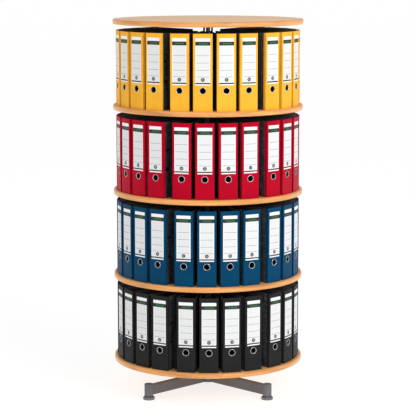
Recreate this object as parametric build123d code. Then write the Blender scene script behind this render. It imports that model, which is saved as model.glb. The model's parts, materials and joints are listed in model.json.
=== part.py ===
"""Rotary file column: four round shelves that turn one by one on a fixed post, filled with lever-arch files.

Units are millimetres. The row frame has +Z up, with its origin on the floor under the post's axis. The front
is -Y. An angle in a tier is measured from -Y towards +X, as seen by somebody who faces the front.
"""
import math
import os

from build123d import *

# ---------------------------------------------------------------- driving dimensions
DISC_RADIUS = 410.0
LIPPING_WIDTH = 8.0
LIPPING_ROUND = 6.0
BOARD_THICKNESS = 22.0

TIERS = ("black", "blue", "red", "yellow")  # from the lowest shelf to the highest
TIER_TURN = {"black": 7.7, "blue": 6.4, "red": 5.2, "yellow": 4.0}  # how far each shelf is turned at rest
TIER_PITCH = 366.0
LOWEST_SHELF_Z = 127.0  # underside of the lowest board
COVER_DISC_Z = LOWEST_SHELF_Z + len(TIERS) * TIER_PITCH

# files
FILE_HEIGHT = 318.0
FILE_DEPTH = 285.0
SPINE_WIDTH = 80.0
SPINE_RADIUS = 395.0  # outer face of a file's spine, from the post's axis
FREE_EDGE_WIDTH = 26.0  # an empty file closes to this at its free edge
SPINE_BOARD = 2.6
COVER_BOARD = 2.4
FINGER_HOLE_Z = 85.0
FINGER_HOLE_RADIUS = 11.5
EYELET_BORE_RADIUS = 10.5
EYELET_FLANGE_RADIUS = 14.0
EYELET_FLANGE = 0.9
LABEL_WIDTH = 61.0
LABEL_HEIGHT = 192.0
LABEL_THICKNESS = 0.4
LABEL_FROM_TOP = 18.4
RING_SPACING = 80.0
SLOT_LENGTH = 37.0
SLOT_WIDTH = 8.0
SLOT_FROM_SPINE = 34.0

# where the files stand in a tier, relative to the tier's own turn
COMPARTMENTS = 6
COMPARTMENT_STEP = 360.0 / COMPARTMENTS
FILE_STEP = 14.2
FILE_OFFSETS = tuple(FILE_STEP * (i - 1.5) for i in range(4))
EMPTY_COMPARTMENT = {"yellow": 3}  # the rear one of the highest shelf
DRAWN_FILE_ANGLE = FILE_OFFSETS[1]  # the file that can be drawn out

# dividers
DIVIDER_INNER = 62.0
DIVIDER_OUTER = 366.0
DIVIDER_HEIGHT = 180.0
DIVIDER_SHEET = 2.0
DIVIDER_CORNER = 8.0
TAB_LENGTH = 24.0
TAB_REACH = 14.0
TAB_RADII = (92.0, 340.0)

# post, hubs and bearings
POST_RADIUS = 21.2
POST_WALL = 2.6
RUNNING_CLEARANCE = 0.05
HUB_SLEEVE_RADIUS = 29.0
HUB_SLEEVE_RISE = 42.0
BOARD_HOLE_RADIUS = 30.0
FLANGE_RADIUS = 80.0
FLANGE_THICKNESS = 4.0
FLANGE_SCREWS = 6
FLANGE_SCREW_RADIUS = 68.0
RACE_INNER = 22.5
RACE_OUTER = 36.0
RACE_THICKNESS = 6.0
BALL_CIRCLE = 29.0
BALL_RADIUS = 3.0
BALL_PLAY = 0.15
BALL_COUNT = 14
RACE_GAP = 4.0
CAGE_INNER = 24.5
CAGE_OUTER = 33.5
CAGE_THICKNESS = 2.0
COLLAR_RADIUS = 35.0
COLLAR_HEIGHT = 14.0

# screws
SCREW_SHANK = 2.0
SCREW_HEAD_RADIUS = 4.2
SCREW_HEAD = 2.4
SCREW_BITE = 14.0
SCREW_PLAY = 0.2

# foot cross
ARM_ANGLES = {"front_right": 45.0, "rear_right": 135.0, "rear_left": 225.0, "front_left": 315.0}
FOOT_RADIUS = 358.0
ARM_HEIGHT = 45.0
ARM_WIDTH = 22.0
ARM_WALL = 2.0
ARM_Z = 18.0
BASE_HUB_RADIUS = 32.0
BASE_HUB_TOP = 88.0
BASE_PLATE = 4.0
FOOT_POST_RADIUS = 19.0
FOOT_POST_WALL = 2.5
FOOT_POST_BOTTOM = 17.0
FOOT_POST_TOP = 65.0
CAP_HEIGHT = 3.0
CAP_PLUG = 10.0
INSERT_DEPTH = 20.0
INSERT_FLANGE = 1.5
NUT_ACROSS_FLATS = 17.0
NUT_HEIGHT = 3.5
PAD_RADIUS = 25.0
PAD_HEIGHT = 12.0
STUD_RADIUS = 4.95
THREAD_BORE = 5.0
STUD_TOP = 47.0

# top fixing
TOP_PLUG_DEPTH = 34.0
SPIGOT_GAP = 30.0  # castellated ring between the end of the post and the flange
SPIGOT_INNER = 17.0
SPIGOT_SLOTS = 5
SPIGOT_SLOT_WIDTH = 8.0
TOP_SCREW_RADIUS = 5.0
TOP_SCREW_HEAD_RADIUS = 8.5
TOP_SCREW_HEAD = 6.0
TOP_CAP = 1.6

BOTTOM_UP = (Align.CENTER, Align.CENTER, Align.MIN)


# ---------------------------------------------------------------- helpers
def rod(radius, low, high, x=0.0, y=0.0):
    """A round bar along Z between two heights."""
    return Pos(x, y, low) * Cylinder(radius, high - low, align=BOTTOM_UP)


def tube(outer, inner, low, high, x=0.0, y=0.0):
    """A round tube along Z between two heights."""
    return rod(outer, low, high, x, y) - rod(inner, low, high, x, y)


def block(low, high):
    """A box between two opposite corners."""
    size = [h - l for l, h in zip(low, high)]
    centre = [(h + l) / 2 for l, h in zip(low, high)]
    return Pos(*centre) * Box(*size)


def at_angle(angle, shape):
    """Turns a shape that lies along +X to a tier angle."""
    return Rot(0, 0, angle - 90.0) * shape


def on_circle(angle, radius):
    """The point at a tier angle and radius."""
    a = math.radians(angle)
    return radius * math.sin(a), -radius * math.cos(a)


def write(name, *shapes):
    """Writes one node from its solids."""
    solids = [s for shape in shapes for s in shape.solids()]
    export_step(Compound(children=solids), f"parts/{name}.step")


# ---------------------------------------------------------------- one lever-arch file, spine towards +X
COVER_FRONT_X = SPINE_RADIUS - SPINE_BOARD
FREE_EDGE_X = SPINE_RADIUS - FILE_DEPTH
COVER_ANGLE = math.atan2((SPINE_WIDTH - FREE_EDGE_WIDTH) / 2, COVER_FRONT_X - FREE_EDGE_X)
COVER_SKEW = COVER_BOARD / math.cos(COVER_ANGLE)


def cover_board():
    """A plain cover on the +Y side; its front end stands flat against the spine board."""
    half, free = SPINE_WIDTH / 2, FREE_EDGE_WIDTH / 2
    lean = COVER_BOARD * math.sin(COVER_ANGLE)
    outline = Polyline(
        (COVER_FRONT_X, half),
        (FREE_EDGE_X, free),
        (FREE_EDGE_X - lean, free - COVER_BOARD * math.cos(COVER_ANGLE)),
        (COVER_FRONT_X, half - COVER_SKEW),
        close=True,
    )
    return extrude(make_face(outline), FILE_HEIGHT)


def cover_plane(side, along, height):
    """A place on a cover's inner face: X runs from the spine inwards, Y out of the file, Z is up or down."""
    u = (-math.cos(COVER_ANGLE), -side * math.sin(COVER_ANGLE), 0)
    origin = (
        COVER_FRONT_X + u[0] * along,
        side * (SPINE_WIDTH / 2 - COVER_SKEW) + u[1] * along,
        height,
    )
    return Plane(origin=origin, x_dir=u, z_dir=(0, 0, -side))


def front_cover():
    """The cover with two long slots, which the closed rings reach into."""
    cover = cover_board()
    for side in (-1, 1):
        place = cover_plane(1, SLOT_FROM_SPINE, FILE_HEIGHT / 2 + side * RING_SPACING / 2)
        slot = Rot(90, 0, 0) * extrude(SlotOverall(SLOT_LENGTH, SLOT_WIDTH), 10, both=True)
        cover -= place.location * slot
    return cover


def back_cover():
    """The cover that carries the mechanism."""
    return mirror(cover_board(), about=Plane.XZ)


def spine_board():
    """The spine, with its finger hole."""
    board = block(
        (COVER_FRONT_X, -SPINE_WIDTH / 2, 0), (SPINE_RADIUS, SPINE_WIDTH / 2, FILE_HEIGHT)
    )
    hole = Pos(SPINE_RADIUS, 0, FINGER_HOLE_Z) * Rot(0, 90, 0) * Cylinder(FINGER_HOLE_RADIUS, 20)
    return board - hole


def eyelet():
    """The metal ring in the finger hole: a flange on the spine and a collar through it."""
    flange = Cylinder(EYELET_FLANGE_RADIUS, EYELET_FLANGE, align=BOTTOM_UP)
    collar = Pos(0, 0, -SPINE_BOARD) * Cylinder(FINGER_HOLE_RADIUS, SPINE_BOARD, align=BOTTOM_UP)
    ring = flange + collar - Cylinder(EYELET_BORE_RADIUS, 20)
    ring = fillet(ring.edges().group_by(Axis.Z)[-1], EYELET_FLANGE / 3)
    return Pos(SPINE_RADIUS, 0, FINGER_HOLE_Z) * Rot(0, 90, 0) * ring


def spine_label():
    """The paper label on the spine."""
    top = FILE_HEIGHT - LABEL_FROM_TOP
    return block(
        (SPINE_RADIUS, -LABEL_WIDTH / 2, top - LABEL_HEIGHT),
        (SPINE_RADIUS + LABEL_THICKNESS, LABEL_WIDTH / 2, top),
    )


# lever-arch mechanism, in the back cover's own directions: along the cover, off its face, and up
PLATE_FROM, PLATE_TO, PLATE_SHEET, PLATE_HALF_HEIGHT = 10.0, 86.0, 1.2, 72.0
WIRE_RADIUS = 2.0
NEAR_LEG, FAR_LEG = 16.0, 46.0
LEG_TOP = 54.5
PIVOT_BAR_RADIUS, PIVOT_BAR_OFF = 2.5, 6.0
PIVOT_BAR_OVERHANG = 4.0
LEVER_WIDTH, LEVER_SHEET, LEVER_LENGTH = 12.0, 4.0, 74.0


def mechanism():
    """The base plate with its two posts, the arch that closes onto them, and the lever."""
    plate = block(
        (PLATE_FROM, 0, -PLATE_HALF_HEIGHT), (PLATE_TO, PLATE_SHEET, PLATE_HALF_HEIGHT)
    )
    arch_reach = RING_SPACING / 2 + PIVOT_BAR_OVERHANG
    arch = rod(PIVOT_BAR_RADIUS, -arch_reach, arch_reach, FAR_LEG, PIVOT_BAR_OFF)
    for z in (-RING_SPACING / 2, RING_SPACING / 2):
        post = Pos(NEAR_LEG, 0, z) * Rot(-90, 0, 0) * Cylinder(WIRE_RADIUS, LEG_TOP, align=BOTTOM_UP)
        plate += post
        leg = Line((FAR_LEG, PIVOT_BAR_OFF, z), (FAR_LEG, LEG_TOP, z))
        middle = (NEAR_LEG + FAR_LEG) / 2
        crown = (middle, LEG_TOP + (FAR_LEG - NEAR_LEG) / 2, z)
        bow = ThreePointArc((FAR_LEG, LEG_TOP, z), crown, (NEAR_LEG, LEG_TOP, z))
        profile = Plane(origin=(FAR_LEG, PIVOT_BAR_OFF, z), z_dir=(0, 1, 0)) * Circle(WIRE_RADIUS)
        arch += sweep(profile, path=leg + bow)
    lever = block(
        (FAR_LEG - LEVER_WIDTH / 2, PIVOT_BAR_OFF - LEVER_SHEET / 2, arch_reach),
        (FAR_LEG + LEVER_WIDTH / 2, PIVOT_BAR_OFF + LEVER_SHEET / 2, arch_reach + LEVER_LENGTH),
    )
    # the inner face of the back cover: cover_plane's Y points into the file on this side
    place = cover_plane(-1, 0, FILE_HEIGHT / 2)
    inwards = Plane(
        origin=place.origin, x_dir=place.x_dir, z_dir=place.x_dir.cross(Vector(*inward_normal()))
    )
    return [inwards.location * piece for piece in (plate, arch, lever)]


def inward_normal():
    """Off the back cover's face, into the file."""
    return math.sin(COVER_ANGLE), math.cos(COVER_ANGLE), 0


class FileParts:
    """One file's pieces, made once and copied to every place."""

    def __init__(self):
        self.covers = [front_cover(), back_cover()]
        self.spine = [spine_board()]
        self.label = [spine_label()]
        self.hardware = [eyelet(), *mechanism()]

    def everything(self):
        return self.covers + self.spine + self.label + self.hardware


# ---------------------------------------------------------------- one tier
def file_angles(tier):
    """Every file's angle in a tier, relative to the tier's turn, without the one that draws out."""
    angles = []
    for compartment in range(COMPARTMENTS):
        if compartment != EMPTY_COMPARTMENT.get(tier):
            angles += [compartment * COMPARTMENT_STEP + offset for offset in FILE_OFFSETS]
    return [a for a in angles if abs(a - DRAWN_FILE_ANGLE) > 1e-6]


def divider_angles():
    return [(i + 0.5) * COMPARTMENT_STEP for i in range(COMPARTMENTS)]


def flange_screw_angles():
    return [i * 360.0 / FLANGE_SCREWS for i in range(FLANGE_SCREWS)]


def tab_screw_places():
    """Centres of the screws that hold the divider tabs, at the tier's own turn."""
    places = []
    for angle in divider_angles():
        for radius in TAB_RADII:
            side = (DIVIDER_SHEET + TAB_REACH) / 2
            a = math.radians(angle)
            x, y = on_circle(angle, radius)
            places.append((x + side * math.cos(a), y + side * math.sin(a)))
    return places


def disc_board(low, hole_radius):
    """The round board, from its underside."""
    board = rod(DISC_RADIUS - LIPPING_WIDTH, low, low + BOARD_THICKNESS)
    return board - rod(hole_radius, low - 1, low + BOARD_THICKNESS + 1) if hole_radius else board


def lipping(low):
    """The rounded edging, flush with the board on both faces."""
    inner = DISC_RADIUS - LIPPING_WIDTH
    ring = tube(DISC_RADIUS, inner, low, low + BOARD_THICKNESS)
    rims = ring.edges().filter_by(GeomType.CIRCLE).sort_by(Edge.radius)[-2:]
    return fillet(rims, LIPPING_ROUND)


def shelf_board(low):
    """A tier's board with its centre hole and the pilot holes of its screws."""
    board = disc_board(low, BOARD_HOLE_RADIUS)
    for angle in flange_screw_angles():
        x, y = on_circle(angle, FLANGE_SCREW_RADIUS)
        board -= rod(SCREW_SHANK, low - 1, low + SCREW_BITE, x, y)
    top = low + BOARD_THICKNESS
    for x, y in tab_screw_places():
        board -= rod(SCREW_SHANK, top - SCREW_BITE, top + 1, x, y)
    return board


def race_groove(height):
    """The groove that the balls run in, around their centres."""
    profile = Pos(BALL_CIRCLE, 0, height) * Rot(90, 0, 0) * Circle(BALL_RADIUS + BALL_PLAY)
    return revolve(profile, Axis.Z)


def hub_flange(board_low, ball_z):
    """The turning hub: flange under the board, sleeve on the post, raceway and ribs below."""
    low = board_low - FLANGE_THICKNESS
    race_low = ball_z + RACE_GAP / 2
    hub = rod(FLANGE_RADIUS, low, board_low)
    hub += rod(HUB_SLEEVE_RADIUS, low, board_low + BOARD_THICKNESS + HUB_SLEEVE_RISE)
    hub += rod(RACE_OUTER, race_low, low)
    for i in range(FLANGE_SCREWS):
        web = Polyline(
            (RACE_OUTER - 2, race_low + 1), (RACE_OUTER - 2, low + 1), (FLANGE_RADIUS - 3, low + 1),
            (FLANGE_RADIUS - 3, low - 1), close=True,
        )
        web = Rot(90, 0, 0) * extrude(make_face(web), 2, both=True)
        hub += at_angle((i + 0.5) * 360.0 / FLANGE_SCREWS, web)
    hub -= rod(POST_RADIUS + RUNNING_CLEARANCE, low - 40, low + 200)
    hub -= race_groove(ball_z)
    for angle in flange_screw_angles():
        x, y = on_circle(angle, FLANGE_SCREW_RADIUS)
        hub -= rod(SCREW_SHANK + SCREW_PLAY, low - 1, board_low + 1, x, y)
    return hub


def ball_cage(ball_z):
    """The balls and the ring that spaces them."""
    cage = tube(CAGE_OUTER, CAGE_INNER, ball_z - CAGE_THICKNESS / 2, ball_z + CAGE_THICKNESS / 2)
    balls = []
    for i in range(BALL_COUNT):
        x, y = on_circle(i * 360.0 / BALL_COUNT, BALL_CIRCLE)
        cage -= rod(BALL_RADIUS + BALL_PLAY, ball_z - 5, ball_z + 5, x, y)
        balls.append(Pos(x, y, ball_z) * Sphere(BALL_RADIUS))
    return [cage, *balls]


def lower_race(ball_z):
    """The fixed bearing ring under a tier."""
    top = ball_z - RACE_GAP / 2
    return tube(RACE_OUTER, POST_RADIUS, top - RACE_THICKNESS, top) - race_groove(ball_z)


def stop_collar(ball_z):
    """The collar that carries a tier on the post, with its set screw."""
    top = ball_z - RACE_GAP / 2 - RACE_THICKNESS
    low, middle = top - COLLAR_HEIGHT, top - COLLAR_HEIGHT / 2
    collar = tube(COLLAR_RADIUS, POST_RADIUS, low, top)
    collar = chamfer(collar.edges().filter_by(GeomType.CIRCLE).sort_by(Edge.radius)[-2:], 1.0)
    to_screw = Pos(0, 0, middle) * Rot(0, 90, 0)
    bore = to_screw * Pos(0, 0, POST_RADIUS / 2) * Cylinder(3, 40, align=BOTTOM_UP)
    screw = to_screw * Pos(0, 0, POST_RADIUS + 0.5) * Cylinder(3, 11, align=BOTTOM_UP)
    screw -= to_screw * Pos(0, 0, POST_RADIUS + 7) * extrude(RegularPolygon(1.7, 6), 10)
    return [collar - bore, screw]


def divider():
    """A sheet-steel upright that lies along +X, with two tabs on the shelf."""
    plate = block(
        (DIVIDER_INNER, -DIVIDER_SHEET / 2, 0), (DIVIDER_OUTER, DIVIDER_SHEET / 2, DIVIDER_HEIGHT)
    )
    plate = fillet(plate.edges().filter_by(Axis.Y).group_by(Axis.Z)[-1], DIVIDER_CORNER)
    for radius in TAB_RADII:
        reach = DIVIDER_SHEET / 2 + TAB_REACH
        tab = block((radius - TAB_LENGTH / 2, 0, 0), (radius + TAB_LENGTH / 2, reach, DIVIDER_SHEET))
        plate += fillet(tab.edges().filter_by(Axis.Z).group_by(Axis.Y)[-1], 4.0)
        plate -= rod(SCREW_SHANK + SCREW_PLAY, -1, 10, radius, (DIVIDER_SHEET + TAB_REACH) / 2)
    return plate


def wood_screw(x, y, seat, up):
    """A pan-head screw with its head on a face at height seat; up is +1 when it bites upwards."""
    head = (seat - SCREW_HEAD, seat) if up > 0 else (seat, seat + SCREW_HEAD)
    shank = (seat, seat + SCREW_BITE) if up > 0 else (seat - SCREW_BITE, seat)
    body = rod(SCREW_HEAD_RADIUS, *head, x, y) + rod(SCREW_SHANK, *shank, x, y)
    drive = head[0] - 1 if up > 0 else head[1] - 1
    return body - rod(1.6, drive, drive + 2, x, y)


def shelf_screws(board_low):
    """The hub's screws from below and the dividers' from above."""
    seat = board_low - FLANGE_THICKNESS
    screws = [wood_screw(*on_circle(a, FLANGE_SCREW_RADIUS), seat, 1) for a in flange_screw_angles()]
    seat = board_low + BOARD_THICKNESS + DIVIDER_SHEET
    return screws + [wood_screw(x, y, seat, -1) for x, y in tab_screw_places()]


def build_tier(tier, level, parts):
    """Writes one turning shelf with everything on it."""
    board_low = LOWEST_SHELF_Z + level * TIER_PITCH
    board_top = board_low + BOARD_THICKNESS
    ball_z = board_low - FLANGE_THICKNESS - RACE_THICKNESS - RACE_GAP / 2
    turned = Rot(0, 0, TIER_TURN[tier])
    write(f"{tier}_shelf_board", turned * shelf_board(board_low))
    write(f"{tier}_shelf_edging", turned * lipping(board_low))
    write(f"{tier}_hub_flange", turned * hub_flange(board_low, ball_z))
    write(f"{tier}_shelf_screws", *[turned * s for s in shelf_screws(board_low)])
    write(f"{tier}_ball_cage", *[turned * s for s in ball_cage(ball_z)])
    upright = divider()
    on_board = turned * Pos(0, 0, board_top)
    write(f"{tier}_dividers", *[on_board * at_angle(a, upright) for a in divider_angles()])

    def placed(pieces):
        return [on_board * at_angle(a, p) for a in file_angles(tier) for p in pieces]

    write(f"{tier}_file_covers", *placed(parts.covers))
    write(f"{tier}_file_spines", *placed(parts.spine))
    write(f"{tier}_file_labels", *placed(parts.label))
    write(f"{tier}_file_hardware", *placed(parts.hardware))
    write(
        f"{tier}_drawn_file",
        *[on_board * at_angle(DRAWN_FILE_ANGLE, p) for p in parts.everything()],
    )
    return ball_z


# ---------------------------------------------------------------- stand and cover disc
def build_foot_cross():
    """Writes the hub, arms, foot posts, their plugs and nuts, and the four levelling feet."""
    hub = rod(BASE_HUB_RADIUS, ARM_Z, BASE_HUB_TOP)
    hub -= rod(POST_RADIUS, ARM_Z + BASE_PLATE, BASE_HUB_TOP + 1)
    write("base_hub", hub)
    arms, posts, plugs, nuts = [], [], [], []
    for name, angle in ARM_ANGLES.items():
        x, y = on_circle(angle, FOOT_RADIUS)
        half = ARM_WIDTH / 2
        arm = block((0, -half, ARM_Z), (FOOT_RADIUS, half, ARM_Z + ARM_HEIGHT))
        arm = fillet(arm.edges().filter_by(Axis.X), 3.0)
        arm -= block(
            (0, -half + ARM_WALL, ARM_Z + ARM_WALL),
            (FOOT_RADIUS, half - ARM_WALL, ARM_Z + ARM_HEIGHT - ARM_WALL),
        )
        arm = at_angle(angle, arm) - rod(BASE_HUB_RADIUS, 0, BASE_HUB_TOP)
        arms.append(arm - rod(FOOT_POST_RADIUS, 0, 100, x, y))
        bore = FOOT_POST_RADIUS - FOOT_POST_WALL
        posts.append(tube(FOOT_POST_RADIUS, bore, FOOT_POST_BOTTOM, FOOT_POST_TOP, x, y))
        cap = rod(FOOT_POST_RADIUS, FOOT_POST_TOP, FOOT_POST_TOP + CAP_HEIGHT, x, y)
        cap = fillet(cap.edges().group_by(Axis.Z)[-1], 2.0)
        cap += rod(bore, FOOT_POST_TOP - CAP_PLUG, FOOT_POST_TOP, x, y)
        insert = rod(bore, FOOT_POST_BOTTOM, FOOT_POST_BOTTOM + INSERT_DEPTH, x, y)
        insert += rod(FOOT_POST_RADIUS, FOOT_POST_BOTTOM - INSERT_FLANGE, FOOT_POST_BOTTOM, x, y)
        insert -= rod(THREAD_BORE, 0, 60, x, y)
        plugs += [cap, insert]
        nut = Pos(x, y, PAD_HEIGHT) * extrude(
            RegularPolygon(NUT_ACROSS_FLATS / 2, 6, major_radius=False), NUT_HEIGHT
        )
        nuts.append(nut - rod(THREAD_BORE, 0, 60, x, y))
        pad = rod(PAD_RADIUS, 0, PAD_HEIGHT, x, y)
        pad = fillet(pad.edges().group_by(Axis.Z)[-1], 4.0)
        pad = chamfer(pad.edges().group_by(Axis.Z)[0], 1.0)
        pad -= rod(STUD_RADIUS, PAD_HEIGHT / 2, PAD_HEIGHT + 1, x, y)
        stud = chamfer(rod(STUD_RADIUS, PAD_HEIGHT / 2, STUD_TOP, x, y).edges().group_by(Axis.Z)[-1], 1)
        write(f"levelling_foot_{name}", pad, stud)
    write("foot_arms", *arms)
    write("foot_posts", *posts)
    write("foot_post_plugs", *plugs)
    write("foot_lock_nuts", *nuts)


def build_post(ball_heights):
    """Writes the post and what is fixed on it under each tier."""
    post_top = COVER_DISC_Z - FLANGE_THICKNESS - SPIGOT_GAP
    write("post_tube", tube(POST_RADIUS, POST_RADIUS - POST_WALL, ARM_Z + BASE_PLATE, post_top))
    write("lower_bearing_rings", *[lower_race(z) for z in ball_heights])
    write("stop_collars", *[piece for z in ball_heights for piece in stop_collar(z)])
    return post_top


def build_cover_disc(post_top):
    """Writes the fixed disc on top, its flange and its fixings."""
    board_low = COVER_DISC_Z
    board_top = board_low + BOARD_THICKNESS
    board = disc_board(board_low, TOP_SCREW_RADIUS + SCREW_PLAY)
    seat = board_top - TOP_CAP - TOP_SCREW_HEAD
    board -= rod(TOP_SCREW_HEAD_RADIUS, seat, board_top + 1)
    for angle in flange_screw_angles():
        x, y = on_circle(angle, FLANGE_SCREW_RADIUS)
        board -= rod(SCREW_SHANK, board_low - 1, board_low + SCREW_BITE, x, y)
    write("cover_disc_board", board)
    write("cover_disc_edging", lipping(COVER_DISC_Z))

    flange_low = board_low - FLANGE_THICKNESS
    bore = POST_RADIUS - POST_WALL
    flange = rod(FLANGE_RADIUS, flange_low, board_low)
    flange += rod(POST_RADIUS, post_top, flange_low)
    for i in range(SPIGOT_SLOTS):
        slot = block((-60, -SPIGOT_SLOT_WIDTH / 2, post_top), (60, SPIGOT_SLOT_WIDTH / 2, flange_low))
        flange -= at_angle(i * 180.0 / SPIGOT_SLOTS, slot)
    flange -= rod(SPIGOT_INNER, post_top, flange_low)
    flange += rod(bore, post_top - TOP_PLUG_DEPTH, post_top)
    for angle in flange_screw_angles():
        x, y = on_circle(angle, FLANGE_SCREW_RADIUS)
        flange -= rod(SCREW_SHANK + SCREW_PLAY, flange_low - 1, board_low + 1, x, y)
    flange -= rod(TOP_SCREW_RADIUS, post_top - TOP_PLUG_DEPTH - 1, board_low + 1)
    write("cover_disc_flange", flange)

    bolt = rod(TOP_SCREW_HEAD_RADIUS, seat, seat + TOP_SCREW_HEAD)
    bolt -= extrude(Pos(0, 0, seat + TOP_SCREW_HEAD - 3) * RegularPolygon(4, 6), 5)
    bolt += rod(TOP_SCREW_RADIUS, post_top - TOP_PLUG_DEPTH + 4, seat)
    cap = rod(TOP_SCREW_HEAD_RADIUS, seat + TOP_SCREW_HEAD, board_top)
    screws = [
        wood_screw(*on_circle(a, FLANGE_SCREW_RADIUS), flange_low, 1) for a in flange_screw_angles()
    ]
    write("cover_disc_fixings", bolt, cap, *screws)


def main():
    os.makedirs("parts", exist_ok=True)
    parts = FileParts()
    ball_heights = [build_tier(tier, level, parts) for level, tier in enumerate(TIERS)]
    build_foot_cross()
    build_cover_disc(build_post(ball_heights))


main()
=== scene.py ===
"""Looks of a rotary file column: round beech shelves on a grey post, full of lever-arch files.

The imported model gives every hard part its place. The files are modelled here once, piece by
piece, and copied to their places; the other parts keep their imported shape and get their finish.
Sizes are in metres.
"""

import json
import logging
import math
from dataclasses import dataclass, field
from enum import Enum
from typing import Any, Callable, Iterable, Sequence

import bmesh
import bpy
from mathutils import Matrix, Vector


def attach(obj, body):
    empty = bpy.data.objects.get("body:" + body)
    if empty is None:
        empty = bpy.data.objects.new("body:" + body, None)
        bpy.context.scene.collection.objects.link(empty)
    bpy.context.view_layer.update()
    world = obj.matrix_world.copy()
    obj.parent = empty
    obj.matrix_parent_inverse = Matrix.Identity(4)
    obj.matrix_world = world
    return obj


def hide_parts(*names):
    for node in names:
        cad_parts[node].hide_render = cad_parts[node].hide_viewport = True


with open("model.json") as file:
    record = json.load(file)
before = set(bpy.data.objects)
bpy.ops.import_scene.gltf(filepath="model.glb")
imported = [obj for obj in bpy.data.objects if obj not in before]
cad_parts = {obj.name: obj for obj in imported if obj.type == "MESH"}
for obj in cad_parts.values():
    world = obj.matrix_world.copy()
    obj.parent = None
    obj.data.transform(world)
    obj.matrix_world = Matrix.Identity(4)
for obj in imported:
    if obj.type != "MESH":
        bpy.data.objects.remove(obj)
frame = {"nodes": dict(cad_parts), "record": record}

LOG = logging.getLogger("rotary_file_column")
Colour = tuple[float, float, float]
Point = tuple[float, float, float]


# ------------------------------------------------------------------ shader wiring
def tint(red: int, green: int, blue: int) -> Colour:
    """A display colour, 0 to 255, as the linear colour that shaders take."""

    def linear(value: int) -> float:
        part = value / 255
        return part / 12.92 if part <= 0.04045 else ((part + 0.055) / 1.055) ** 2.4

    return linear(red), linear(green), linear(blue)


class Wire:
    """A socket's output, or a number, that can be used in plain arithmetic."""

    def __init__(self, tree: bpy.types.NodeTree, source: Any) -> None:
        """Keeps the node tree and the socket or number."""
        self.tree = tree
        self.source = source

    def _math(self, operation: str, *values: Any) -> "Wire":
        """Adds one Math node.

        Args:
            operation: the node's operation.
            values: wires or numbers for its inputs.

        Returns:
            The node's result.
        """
        node = self.tree.nodes.new("ShaderNodeMath")
        node.operation = operation
        for socket, value in zip(node.inputs, values):
            plug(self.tree, socket, value)
        return Wire(self.tree, node.outputs[0])

    def __add__(self, other: Any) -> "Wire":
        """Sum."""
        return self._math("ADD", self, other)

    def __radd__(self, other: Any) -> "Wire":
        """Reflected sum."""
        return self._math("ADD", other, self)

    def __sub__(self, other: Any) -> "Wire":
        """Difference."""
        return self._math("SUBTRACT", self, other)

    def __rsub__(self, other: Any) -> "Wire":
        """Reflected difference, so that 1 - mask works."""
        return self._math("SUBTRACT", other, self)

    def __mul__(self, other: Any) -> "Wire":
        """Product."""
        return self._math("MULTIPLY", self, other)

    def __rmul__(self, other: Any) -> "Wire":
        """Reflected product."""
        return self._math("MULTIPLY", other, self)

    def __lt__(self, other: Any) -> "Wire":
        """1 where this is less than the other."""
        return self._math("LESS_THAN", self, other)

    def __gt__(self, other: Any) -> "Wire":
        """1 where this is greater than the other."""
        return self._math("GREATER_THAN", self, other)

    def __abs__(self) -> "Wire":
        """Size without its sign."""
        return self._math("ABSOLUTE", self)

    def angle_with(self, other: "Wire") -> "Wire":
        """The angle whose tangent is this over the other."""
        return self._math("ARCTAN2", self, other)

    def root(self) -> "Wire":
        """Square root."""
        return self._math("SQRT", self)


def plug(tree: bpy.types.NodeTree, socket: bpy.types.NodeSocket, value: Any) -> None:
    """Feeds a socket from a wire, a number or a colour.

    Args:
        tree: the tree that both belong to.
        socket: the input.
        value: what it gets.
    """
    if isinstance(value, Wire):
        if isinstance(value.source, bpy.types.NodeSocket):
            tree.links.new(value.source, socket)
            return
        value = value.source
    if socket.type == "RGBA" and len(value) == 3:
        value = (*value, 1.0)
    socket.default_value = value


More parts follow.
